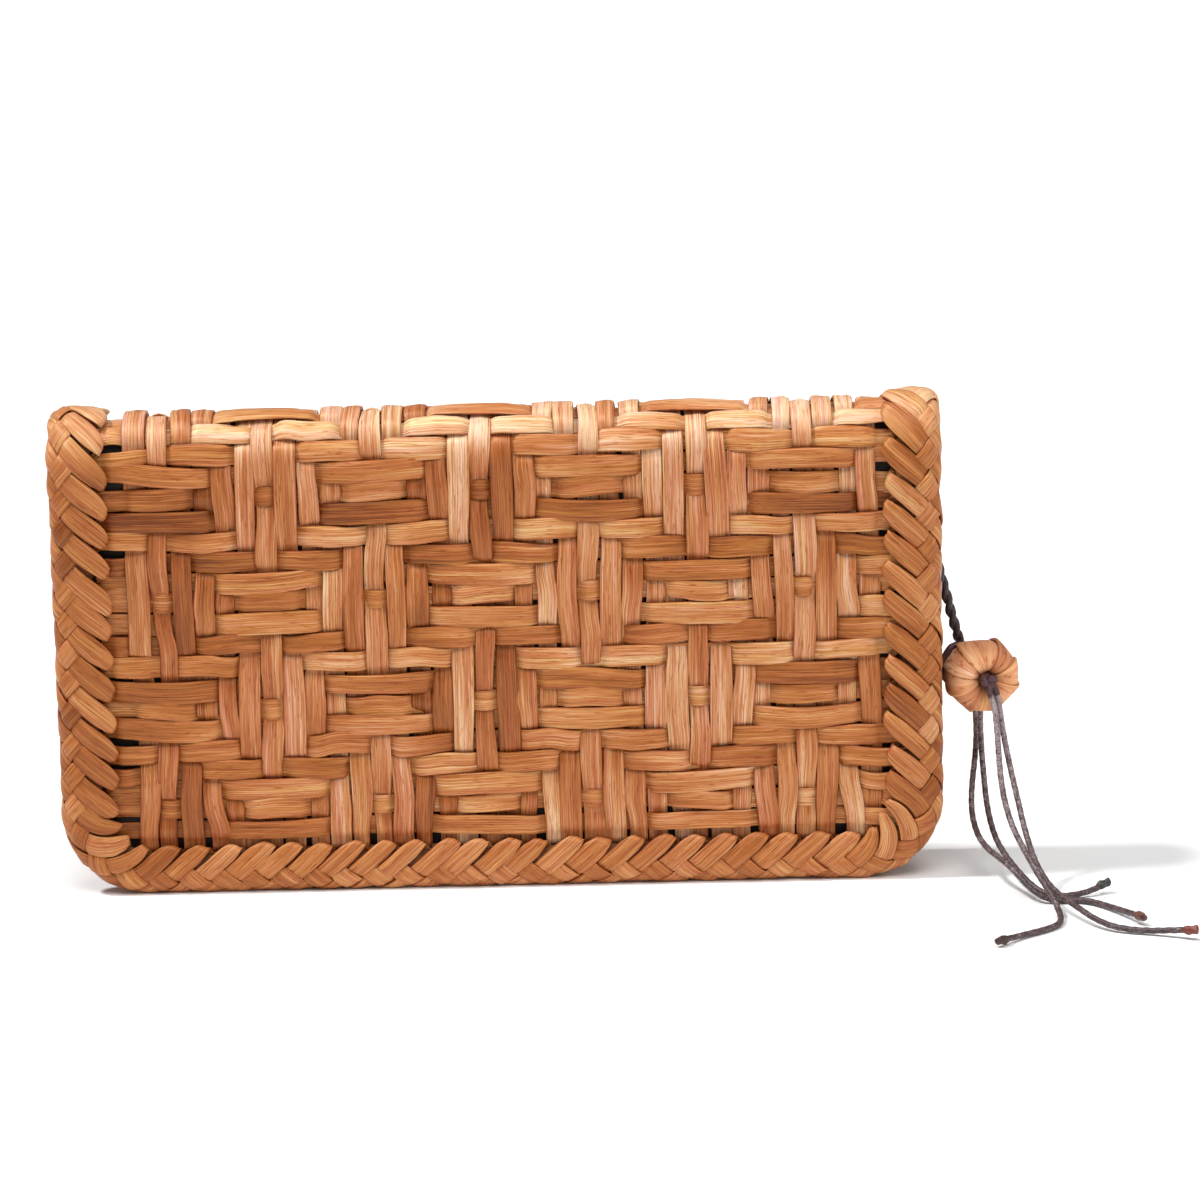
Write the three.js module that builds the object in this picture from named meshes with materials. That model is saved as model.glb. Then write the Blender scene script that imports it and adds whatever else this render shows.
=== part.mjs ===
// A wallet woven from vine-bark strips: one woven sheet folded over at the top, lined with dark cloth and
// bound all round by a plaited rim, with a wrapped bead and four cord tails on a twisted cord at its right.
// Millimetres, +Z up. It stands on the floor at z = 0 with its front towards -Y, centred on the origin.
import * as THREE from "three";

// Driving dimensions
const WIDTH = 190;
const FOLD_RADIUS = 9;
const LEG = 94.2;
const CORNER_RADIUS = 18;
const COVER_WALL = 2.2;
const LINING_WALL = 1.0;
const GAP = 0.3;
const BULGE = 1.2;
const RIM_WIDTH = 11.5;
const RIM_CREST = 4.5;
const RIM_LEAF = 6.7;
const RIM_LEAD = 1.15;
const RIM_RIB = 0.45;
const BEAD_RADIUS = 8.1;
const BEAD_WRAPS = 8;
const BEAD_LOBE = 0.3;
const BEAD_CENTRE = [103.9, -1, 42.5];
const BEAD_TURN_DEG = 8.6;
const ANCHOR_CENTRE = [89.5, 0.7, 84];
const ANCHOR_RADIUS = 2.6;
const PULL_DIAMETER = 2.3;
const TAIL_DIAMETER = 1.3;
const TIP_RADIUS = 1.25;
const CORD_SIDES = 8;

// Cross-section of the rim: inset from the sheet's outline, height over the sheet's middle, share of the rib
const RIM_SECTION = [
  { inset: 0, height: -3.0, rib: 0 },
  { inset: 0, height: 0.2, rib: 0 },
  { inset: 1.0, height: 1.5, rib: 0.6 },
  { inset: 2.6, height: 2.3, rib: 1 },
  { inset: RIM_CREST, height: 2.6, rib: 0.3 },
  { inset: 7.2, height: 2.4, rib: 1 },
  { inset: 10.2, height: 2.0, rib: 1 },
  { inset: RIM_WIDTH, height: 1.2, rib: 0 },
  { inset: RIM_WIDTH, height: -2.6, rib: 0 },
  { inset: 10.0, height: -4.6, rib: 0 },
  { inset: 6.0, height: -5.4, rib: 0 },
  { inset: 2.0, height: -4.8, rib: 0 },
];

// Half cross-section of the bead: radius from its axis, height along it
const BEAD_SECTION = [
  { radius: 1.7, height: -3.6 },
  { radius: 2.6, height: -5.4 },
  { radius: 4.4, height: -6.5 },
  { radius: 6.2, height: -5.8 },
  { radius: 7.6, height: -3.6 },
  { radius: BEAD_RADIUS, height: 0 },
  { radius: 7.6, height: 3.6 },
  { radius: 6.2, height: 5.8 },
  { radius: 4.4, height: 6.5 },
  { radius: 2.6, height: 5.4 },
  { radius: 1.7, height: 3.6 },
];

// The two knots on the bead's axis and the cord between them
const BACK_KNOT = { at: -8.2, radius: 2.6 };
const FRONT_KNOT = { at: 6.6, radius: 2.0 };
const CORE_RADIUS = 1.3;

const PULL_ROUTE = [
  [90.5, 0.7, 81.3], [91.2, 0.6, 78.8], [92.0, 0.5, 76.2], [92.7, 0.5, 73.6], [93.5, 0.5, 71.0],
  [94.3, 0.6, 68.4], [95.0, 0.9, 65.8], [95.7, 1.2, 63.2], [96.4, 1.7, 60.6], [97.1, 2.3, 58.0],
  [97.7, 3.0, 55.5], [98.4, 3.8, 53.0], [99.1, 4.9, 50.4], [100.0, 6.1, 47.8], [101.0, 7.0, 45.4],
];

const TAIL_ROUTES = [
  [
    [105.1, -9.0, 40.6], [105.7, -10.3, 38.5], [106.1, -11.2, 36.3], [106.3, -12.2, 33.5], [106.5, -13.0, 29.9],
    [106.7, -13.9, 26.1], [107.0, -15.5, 22.1], [107.6, -17.9, 18.3], [108.7, -21.2, 14.5], [110.2, -25.2, 11.5],
    [111.8, -29.5, 9.0], [113.2, -33.8, 6.9], [114.6, -37.4, 5.1], [115.8, -40.8, 3.6], [116.5, -43.7, 2.1],
    [116.8, -46.8, 1.0], [115.9, -50.4, 0.8], [113.6, -53.3, 0.8], [110.9, -55.5, 0.8], [107.5, -58.3, 0.9],
    [104.3, -61.5, 1.2],
  ],
  [
    [106.4, -8.2, 40.6], [106.9, -9.1, 38.6], [107.2, -9.9, 36.4], [107.6, -10.7, 33.3], [108.2, -11.8, 29.5],
    [108.9, -13.0, 25.8], [109.7, -14.8, 21.8], [110.5, -17.0, 18.0], [111.3, -20.0, 14.1], [112.1, -23.6, 11.0],
    [112.9, -27.8, 8.6], [114.0, -31.9, 6.7], [115.4, -35.6, 5.1], [117.0, -39.2, 4.1], [118.7, -42.8, 3.6],
    [120.8, -46.6, 2.9], [123.4, -50.6, 2.0], [126.6, -53.9, 1.3], [130.3, -55.9, 1.0], [134.1, -57.1, 1.0],
    [137.6, -58.6, 1.4], [140.95, -60.2, 1.9],
  ],
  [
    [101.9, 7.9, 39.7], [102.4, 8.4, 37.0], [102.9, 8.7, 34.2], [103.3, 8.8, 31.2], [103.4, 8.2, 27.8],
    [103.2, 7.0, 24.7], [102.8, 5.2, 21.8], [102.1, 2.4, 18.1], [101.6, -1.2, 14.6], [101.6, -5.4, 11.6],
    [102.4, -10.4, 9.1], [103.9, -15.8, 7.8], [105.7, -20.4, 7.2], [107.6, -24.0, 6.3], [109.6, -27.2, 4.8],
    [111.7, -29.9, 3.0], [114.0, -31.9, 1.6], [116.6, -32.9, 0.9], [119.4, -33.0, 0.8], [122.2, -33.2, 0.8],
    [125.1, -35.0, 0.8], [128.0, -38.9, 0.9], [130.5, -43.7, 1.3], [132.5, -48.1, 1.75],
  ],
  [
    [103.7, 7.4, 39.7], [104.2, 7.0, 37.0], [104.3, 6.7, 34.5], [104.2, 6.5, 31.6], [104.2, 6.1, 28.3],
    [104.3, 5.4, 25.1], [104.4, 4.0, 22.1], [104.6, 1.6, 18.2], [104.8, -1.6, 14.6], [105.3, -5.6, 11.2],
    [106.2, -9.9, 8.3], [107.6, -14.6, 6.2], [109.2, -19.2, 4.7], [111.0, -23.2, 3.3], [112.9, -26.4, 2.1],
    [115.0, -28.6, 1.2], [117.4, -29.5, 0.8], [119.8, -29.4, 0.8], [122.1, -28.8, 0.9], [124.4, -28.0, 1.2],
    [126.7, -26.8, 1.75],
  ],
];

const TIP_CENTRES = [
  [103.3, -62.7, 1.35],
  [142.3, -61.0, 2.1],
  [133.1, -49.5, 1.9],
  [127.8, -25.8, 2.1],
];

const BARK = new THREE.MeshStandardMaterial({ color: 0xb9763f, roughness: 0.55, metalness: 0 });
const RIM_BARK = new THREE.MeshStandardMaterial({ color: 0xc4834a, roughness: 0.55, metalness: 0 });
const CLOTH = new THREE.MeshStandardMaterial({ color: 0x17110f, roughness: 0.9, metalness: 0 });
const PALE_BARK = new THREE.MeshStandardMaterial({ color: 0xd2a074, roughness: 0.5, metalness: 0 });
const CORD = new THREE.MeshStandardMaterial({ color: 0x3a2b2a, roughness: 0.7, metalness: 0 });
const TAIL_CORD = new THREE.MeshStandardMaterial({ color: 0x55403f, roughness: 0.6, metalness: 0 });
const TIP_CORD = new THREE.MeshStandardMaterial({ color: 0x6e4132, roughness: 0.6, metalness: 0 });

// Derived sizes of the flat sheet
const ARC = Math.PI * FOLD_RADIUS;
const LENGTH = 2 * LEG + ARC;
const SHEET_INSET = RIM_WIDTH + GAP;

// Outward swell of the front and back between the rims
function swell(u, v) {
  const across = 1 - (u / (WIDTH / 2 - RIM_WIDTH)) ** 2;
  const along = (Math.min(v, LENGTH - v) - RIM_WIDTH) / (LEG - RIM_WIDTH);
  if (across <= 0 || along <= 0 || along >= 1) {
    return 0;
  }
  return BULGE * across * Math.sin(Math.PI * along) ** 2;
}

// From the flat sheet to the folded one: u across, v up the front, over the fold and down the back, and
// n outwards from the middle of the sheet
function folded(u, v, n) {
  const out = FOLD_RADIUS + n + swell(u, v);
  if (v < LEG) {
    return [u, -out, v];
  }
  if (v > LEG + ARC) {
    return [u, out, LENGTH - v];
  }
  const turn = (v - LEG) / FOLD_RADIUS;
  return [u, -out * Math.cos(turn), LEG + out * Math.sin(turn)];
}

function solidOf(points, faces) {
  const geometry = new THREE.BufferGeometry();
  geometry.setAttribute("position", new THREE.Float32BufferAttribute(points.flat(), 3));
  geometry.setIndex(faces.flat());
  geometry.computeVertexNormals();
  return geometry;
}

// Rows of the flat sheet from the front edge to the back edge, with half its width at each
function sheetRows(inset) {
  const cornerSteps = 6;
  const legSteps = 7;
  const foldSteps = 14;
  const radius = CORNER_RADIUS - inset;
  const front = [];
  for (let k = 0; k <= cornerSteps; k += 1) {
    const angle = (k / cornerSteps) * (Math.PI / 2);
    const half = WIDTH / 2 - CORNER_RADIUS + radius * Math.sin(angle);
    front.push({ v: CORNER_RADIUS - radius * Math.cos(angle), half });
  }
  const half = WIDTH / 2 - inset;
  for (let k = 1; k <= legSteps; k += 1) {
    front.push({ v: CORNER_RADIUS + (k / legSteps) * (LEG - CORNER_RADIUS), half });
  }
  const fold = [];
  for (let k = 1; k < foldSteps; k += 1) {
    fold.push({ v: LEG + (k / foldSteps) * ARC, half });
  }
  const back = front.map((row) => ({ v: LENGTH - row.v, half: row.half })).reverse();
  return [...front, ...fold, ...back];
}

// A wall between two heights over the sheet's middle
function wall(inset, outer, inner) {
  const columns = 8;
  const rows = sheetRows(inset);
  const points = [];
  for (const height of [outer, inner]) {
    for (const { v, half } of rows) {
      for (let j = 0; j <= columns; j += 1) {
        points.push(folded(half * ((2 * j) / columns - 1), v, height));
      }
    }
  }
  const stride = columns + 1;
  const side = rows.length * stride;
  const faces = [];
  for (let i = 0; i + 1 < rows.length; i += 1) {
    for (let j = 0; j < columns; j += 1) {
      const a = i * stride + j;
      const b = a + 1;
      const c = a + stride + 1;
      const d = a + stride;
      faces.push([a, b, c], [a, c, d]);
      faces.push([side + a, side + c, side + b], [side + a, side + d, side + c]);
    }
  }
  const border = [];
  for (let j = 0; j < columns; j += 1) {
    border.push(j);
  }
  for (let i = 0; i + 1 < rows.length; i += 1) {
    border.push(i * stride + columns);
  }
  for (let j = columns; j > 0; j -= 1) {
    border.push((rows.length - 1) * stride + j);
  }
  for (let i = rows.length - 1; i > 0; i -= 1) {
    border.push(i * stride);
  }
  border.forEach((a, k) => {
    const b = border[(k + 1) % border.length];
    faces.push([a, side + a, side + b], [a, side + b, b]);
  });
  return solidOf(points, faces);
}

// The four sides of the flat sheet's outline, each followed by the corner it runs into
const SIDES = [
  { start: [-WIDTH / 2, LENGTH - CORNER_RADIUS], along: [0, -1], length: LENGTH - 2 * CORNER_RADIUS },
  { start: [CORNER_RADIUS - WIDTH / 2, 0], along: [1, 0], length: WIDTH - 2 * CORNER_RADIUS },
  { start: [WIDTH / 2, CORNER_RADIUS], along: [0, 1], length: LENGTH - 2 * CORNER_RADIUS },
  { start: [WIDTH / 2 - CORNER_RADIUS, LENGTH], along: [-1, 0], length: WIDTH - 2 * CORNER_RADIUS },
];
const CORNER_LENGTH = (CORNER_RADIUS - RIM_CREST) * (Math.PI / 2);
const OUTLINE_LENGTH = SIDES.reduce((sum, side) => sum + side.length + CORNER_LENGTH, 0);

// A point of the outline: how far round along the crest, and how far in from the edge
function outlinePoint(travel, inset) {
  let left = ((travel % OUTLINE_LENGTH) + OUTLINE_LENGTH) % OUTLINE_LENGTH;
  for (const { start, along, length } of SIDES) {
    const inward = [-along[1], along[0]];
    if (left <= length) {
      return [0, 1].map((k) => start[k] + along[k] * left + inward[k] * inset);
    }
    left -= length;
    if (left <= CORNER_LENGTH) {
      const turn = (left / CORNER_LENGTH) * (Math.PI / 2);
      const radius = CORNER_RADIUS - inset;
      return [0, 1].map((k) => {
        const centre = start[k] + along[k] * length + inward[k] * CORNER_RADIUS;
        return centre - radius * (inward[k] * Math.cos(turn) - along[k] * Math.sin(turn));
      });
    }
    left -= CORNER_LENGTH;
  }
  return outlinePoint(0, inset);
}

// Rings joined one to the next and the last to the first
function ringLoop(rings) {
  const count = rings[0].length;
  const faces = [];
  rings.forEach((ring, i) => {
    const next = ((i + 1) % rings.length) * count;
    for (let j = 0; j < count; j += 1) {
      const a = i * count + j;
      const b = i * count + ((j + 1) % count);
      const c = next + ((j + 1) % count);
      const d = next + j;
      faces.push([a, c, b], [a, d, c]);
    }
  });
  return solidOf(rings.flat(), faces);
}

// The rim: chevron rings that trail at the crest, every second one raised into the rib of a leaf
function rimGeometry() {
  const leaves = Math.round(OUTLINE_LENGTH / RIM_LEAF);
  const rings = [];
  for (let i = 0; i < 2 * leaves; i += 1) {
    const travel = (i * OUTLINE_LENGTH) / (2 * leaves);
    const raised = i % 2 === 0 ? 0 : -2 * RIM_RIB;
    rings.push(RIM_SECTION.map(({ inset, height, rib }) => {
      const lead = RIM_LEAD * Math.min(Math.abs(inset - RIM_CREST), RIM_WIDTH - RIM_CREST);
      const [u, v] = outlinePoint(travel + lead, inset);
      return folded(u, v, height + raised * rib);
    }));
  }
  return ringLoop(rings);
}

// The bead, about its own Y axis
function beadGeometry() {
  const steps = 4 * BEAD_WRAPS;
  const rings = [];
  for (let i = 0; i < steps; i += 1) {
    const angle = (i / steps) * 2 * Math.PI;
    const lobe = BEAD_LOBE * (Math.cos(BEAD_WRAPS * angle) - 1);
    rings.push(BEAD_SECTION.map(({ radius, height }) => {
      const share = Math.max(0, (radius - 2.6) / (BEAD_RADIUS - 2.6));
      const reach = radius + lobe * share;
      return [reach * Math.cos(angle), height, -reach * Math.sin(angle)];
    }));
  }
  return ringLoop(rings);
}

// Profile of a round knot, from the radius where it starts to the radius where it ends
function knotProfile({ at, radius }, startRadius, endRadius) {
  const steps = 8;
  const low = Math.asin(startRadius / radius);
  const high = Math.PI - Math.asin(endRadius / radius);
  const points = [];
  for (let k = 0; k <= steps; k += 1) {
    const angle = low + (k / steps) * (high - low);
    points.push(new THREE.Vector2(radius * Math.sin(angle), at - radius * Math.cos(angle)));
  }
  return points;
}

// The two knots and the cord through the bead, about the bead's own Y axis
function beadKnotGeometry() {
  const back = knotProfile(BACK_KNOT, 0, CORE_RADIUS);
  const front = knotProfile(FRONT_KNOT, CORE_RADIUS, 0);
  return new THREE.LatheGeometry([...back, ...front], 12);
}

function cordGeometry(route, diameter) {
  const curve = new THREE.CatmullRomCurve3(route.map((point) => new THREE.Vector3(...point)));
  const outline = new THREE.Shape();
  for (let k = 0; k < CORD_SIDES; k += 1) {
    const angle = (k / CORD_SIDES) * 2 * Math.PI;
    const corner = [(diameter / 2) * Math.cos(angle), (diameter / 2) * Math.sin(angle)];
    if (k === 0) {
      outline.moveTo(...corner);
    } else {
      outline.lineTo(...corner);
    }
  }
  const steps = Math.round(curve.getLength() / (2.6 * diameter));
  return new THREE.ExtrudeGeometry(outline, { steps, extrudePath: curve, bevelEnabled: false });
}

const wallet = new THREE.Group();
wallet.name = "woven_vine_wallet";

function addPiece(name, geometry, material) {
  const mesh = new THREE.Mesh(geometry, material);
  mesh.name = name;
  wallet.add(mesh);
  return mesh;
}

function addOnBead(name, geometry, material) {
  const mesh = addPiece(name, geometry, material);
  mesh.position.set(...BEAD_CENTRE);
  mesh.rotation.z = THREE.MathUtils.degToRad(180 + BEAD_TURN_DEG);
}

// The wallet itself
const coverHalf = COVER_WALL / 2;
const liningTop = -coverHalf - GAP;
addPiece("woven_cover", wall(SHEET_INSET, coverHalf, -coverHalf), BARK);
addPiece("lining", wall(SHEET_INSET, liningTop, liningTop - LINING_WALL), CLOTH);
addPiece("plaited_rim", rimGeometry(), RIM_BARK);

// The pull: its hidden end, cord, bead and tails
const anchor = addPiece("cord_anchor", new THREE.SphereGeometry(ANCHOR_RADIUS, 12, 8), CORD);
anchor.position.set(...ANCHOR_CENTRE);
addPiece("pull_cord", cordGeometry(PULL_ROUTE, PULL_DIAMETER), CORD);
addOnBead("bead", beadGeometry(), PALE_BARK);
addOnBead("bead_knot", beadKnotGeometry(), CORD);
TAIL_ROUTES.forEach((route, k) => {
  addPiece(`tail_${k + 1}`, cordGeometry(route, TAIL_DIAMETER), TAIL_CORD);
  const tip = addPiece(`tail_tip_${k + 1}`, new THREE.SphereGeometry(TIP_RADIUS, 8, 6), TIP_CORD);
  tip.position.set(...TIP_CENTRES[k]);
});

export default wallet;
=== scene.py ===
# The look of a wallet woven from vine-bark strips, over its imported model: a woven cover folded over at the
# top, a plaited rim, a dark lining, and a bead and four cord tails on a twisted cord at its right.
# Sizes are in millimetres in the model's own frame, and turned into metres where a mesh is made.
import math

import bpy
import numpy as np
from mathutils import Matrix, Vector


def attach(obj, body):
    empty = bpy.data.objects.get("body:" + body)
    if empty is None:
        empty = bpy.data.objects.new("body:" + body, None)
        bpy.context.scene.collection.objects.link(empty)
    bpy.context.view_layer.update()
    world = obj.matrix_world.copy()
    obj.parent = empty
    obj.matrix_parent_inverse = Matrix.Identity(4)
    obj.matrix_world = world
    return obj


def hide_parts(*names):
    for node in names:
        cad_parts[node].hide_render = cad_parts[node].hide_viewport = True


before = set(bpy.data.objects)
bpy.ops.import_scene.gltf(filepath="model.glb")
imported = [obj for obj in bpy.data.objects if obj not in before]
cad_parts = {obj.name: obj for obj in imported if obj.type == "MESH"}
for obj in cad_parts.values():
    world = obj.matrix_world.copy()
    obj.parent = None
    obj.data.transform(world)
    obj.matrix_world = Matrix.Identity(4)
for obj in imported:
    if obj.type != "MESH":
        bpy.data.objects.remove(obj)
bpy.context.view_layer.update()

rng = np.random.default_rng(12)
MM = 0.001

# The folded sheet
WIDTH = 190
FOLD_RADIUS = 9
LEG = 94.2
CORNER_RADIUS = 18
BULGE = 1.2
ARC = math.pi * FOLD_RADIUS
LENGTH = 2 * LEG + ARC

# The weave: columns run up the front and over the fold, rows run across
COLUMN_PITCH = 4.57
COLUMN_SHIFT = -3.1
COLUMNS = np.arange(-16, 19)
ROW_PITCH = 4.63
ROW_TOP = 87.8
ROWS = np.arange(16, -26, -1)
DIAMOND = 10
TWILL = 6
UPRIGHT_STEPS = (1, 2, 3)
STRIP_THICKNESS = 0.5
STRIP_LIFT = 0.38
STRIP_CROWN = 0.16
FLOAT_ARCH = 0.48
DIVE_START = 0.1
DIVE_SPAN = 0.45
SAMPLES_IN_PITCH = np.array([0.0, 0.25, 0.42, 0.58, 0.75])

# The sag of the rows towards the left, which eases out near the bottom edges
ROW_SAG = 1.1
SAG_START = 15
SAG_SPAN = 60
SAG_CLEARANCE = 14
SAG_EASE = 20

# How uneven the strips are: spreads in millimetres, waves by size and spans, widths as shares of a pitch
LEVEL_SPREAD = 0.05
STRIP_DRIFT = 0.1
STRIP_WAVE = (0.12, (47, 83))
STRIP_RELIEF = 0.06
STRIP_WIDTH = (0.98, 0.03)
NARROWEST_STRIP = 0.6
WIDEST_STRIP = 1.08

# On each float: the spread of its level and slant, the spread of its bow, and the bow that all have
FLOAT_COURSE = (0.22, 0.24)
FLOAT_WIDTH = (0.05, 0.04, 0.045)
FLOAT_ROLL = (0.05, 0.03)
FLOAT_TONE = (0.04, 0.02)

# Where the strips lie looser: how much, from which place and over what span
LOOSE_BOTTOM = (0.6, -22, 10)
LOOSE_LEFT = (0.6, 66, 16)
LOOSE_RIGHT = (0.5, 74, 8)
LOOSE_DRIFT = 0.8
LOOSE_WIDTH = (-0.03, 0.14)

# Tones: how light the bark is and its spread, painted light that makes the fold paler, and darker towards
# the left
UPRIGHT_TONE = (0.03, 0.08)
ROW_TONE = (0.035, 0.085)
PLAIT_TONE = (-0.012, 0.07)
FOLD_PAINTED_LIGHT = 0.2
FOLD_START = 92
FOLD_SPAN = 8
LEFT_DARKNESS = 0.115
LEFT_START = 22
LEFT_SPAN = 50

# The plaited rim: strands lead forward from the edge to their tips, each under one short cross leaf
RIM_WIDTH = 11.5
RIM_CREST = 4.5
PLAIT_CREST = 3.9
STRANDS = 113
STRAND_LEAD = 1.15
STRAND_THICKNESS = 0.6
STRAND_CROWN = 0.18
STRAND_TIP = 8.0
STRAND_TAIL = 12.5
STRAND_LIFT = 0.05
STRAND_DIP = 0.75
STRAND_DRIFT = 0.25
STRAND_LONGER = 0.9
TIP_DIP = 2.7
TIP_DIP_SPAN = 4.5
TIP_TAPERS = [(0.36, 9), (0.3, 4)]
DIP_EASE = 2.4
CROSS_TUCK = 2.4
CROSS_START = 1.4
CROSS_EASE = 2.6
CROSS_SINK = 0.65
CROSS_LIFT = 0.8
CROSS_DRIFT = 0.18
LEAF_WIDTH = (0.97, 0.045)
LEAF_WIDTH_WAVE = (0.03, (13, 27))
LEAF_LEVEL = 0.06
LEAF_LEVEL_WAVE = (0.06, (11, 19))
LEAF_TILT = 0.04
LEAF_RELIEF = 0.07
PLAIT_GRAIN = 0.66
SIDE_REACH = 1.8
FLOOR_CLEARANCE = 0.02
RIM_SECTION = np.array([
    (0, -3.0), (0, 0.2), (1.0, 1.5), (2.6, 2.3), (RIM_CREST, 2.6), (7.2, 2.4), (10.2, 2.0),
    (RIM_WIDTH, 1.2), (RIM_WIDTH, -2.6), (10.0, -4.6), (6.0, -5.4), (2.0, -4.8),
])
CORE_SECTION = np.array([
    (1.3, -2.4), (1.4, 0.2), (2.4, 0.9), (RIM_CREST, 1.3), (6.8, 0.8), (9.2, -0.9), (9.4, -2.6),
    (6.0, -4.2), (2.6, -3.6),
])

# The lining
LINING_INSET = 9.4
LINING_OUTER = -1.4
LINING_INNER = -2.4

# The bead on its own axis, which points out of its front
BEAD_CENTRE = np.array([103.9, -1.0, 42.5])
BEAD_TURN = math.radians(8.6)
BEAD_AXIS = np.array([math.sin(BEAD_TURN), -math.cos(BEAD_TURN), 0.0])
BEAD_WRAPS = 8
BEAD_SECTION = np.array([
    (1.7, 4.4), (2.6, 5.7), (4.5, 6.5), (6.5, 5.8), (8.0, 3.6), (8.5, 0),
    (8.0, -3.6), (6.5, -5.8), (4.5, -6.5), (2.6, -5.7), (1.7, -4.4),
])
BEAD_HOLE = 0.9
CORE_SHARE = 0.9
CORE_INSET = (0.6, 0.7)
CORE_HOLE = 1.4
ROUND_SHARE = 0.2
FACET_REACH = 1.2
WRAP_WIDTHS = (0.7, 1.3)
WRAP_START = 0.4
WRAP_REACH = 0.6
WRAP_SHIFT = 0.03
WRAP_SKEW = 0.05
WRAP_THICKNESS = 0.5
WRAP_SLANT = 0.3
WRAP_SINK = 0.15
WRAP_LEVEL = 0.05
WRAP_RELIEF = 0.03
WRAP_LENGTH = 30
WRAP_GRAIN = 1.7
WRAP_TONE = (0.035, 0.1)
# Painted light: wraps turned towards LIGHT_SIDE, an angle round the bead, are lighter by this much and those
# opposite darker
WRAP_PAINTED_LIGHT = 0.14
LIGHT_SIDE = 2.0
BACK_KNOT = -8.2
FRONT_KNOT = 6.6
TAIL_KNOTS = [FRONT_KNOT, FRONT_KNOT, BACK_KNOT, BACK_KNOT]

# The loop at the bead's back: its sweep in degrees, and its reach and height at four places
LOOP_SWEEP = (100, 205)
LOOP_REACHES = [4.6, 7.6, 7.8, 6.4]
LOOP_HEIGHTS = [-7.8, -5.0, -4.4, -6.8]

# The cords; the pull's two strands by their offset and radius
ANCHOR_CENTRE = (89.5, 0.7, 84.0)
PULL_LENGTH = 38.5
PULL_TWIST = 7.0
PULL_STEP = 0.4
PULL_STRANDS = (0.46, 0.72)
TAIL_DIAMETER = 1.3
TAIL_TWIST = 7.2
TAIL_STEP = 0.5
STUB_RADII = (0.85, 0.7)
THROUGH_RADIUS = 1.25
LOOP_RADIUS = 0.8
YARNS = 3
YARN_RELIEF = 0.06

# Knots: the size each is tied to and the radius of its cord
ANCHOR_KNOT = (1.9, 1.0)
ANCHOR_AXIS = (0.3, 0.1, -1)
BACK_KNOT_SIZE = (1.7, 1.05)
FRONT_KNOT_SIZE = (1.25, 0.85)

# A tail's knotted end: places along it and the radius there
TIP_PLACES = [-1.7, -1.3, -0.7, -0.1, 0.3, 0.9, 1.3, 1.6, 1.7]
TIP_RADII = [0.6, 0.78, 1.0, 0.95, 0.8, 0.92, 1.02, 0.85, 0.35]
TIP_LUMPS = 0.07
TIP_NOTCH = 0.28

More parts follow.
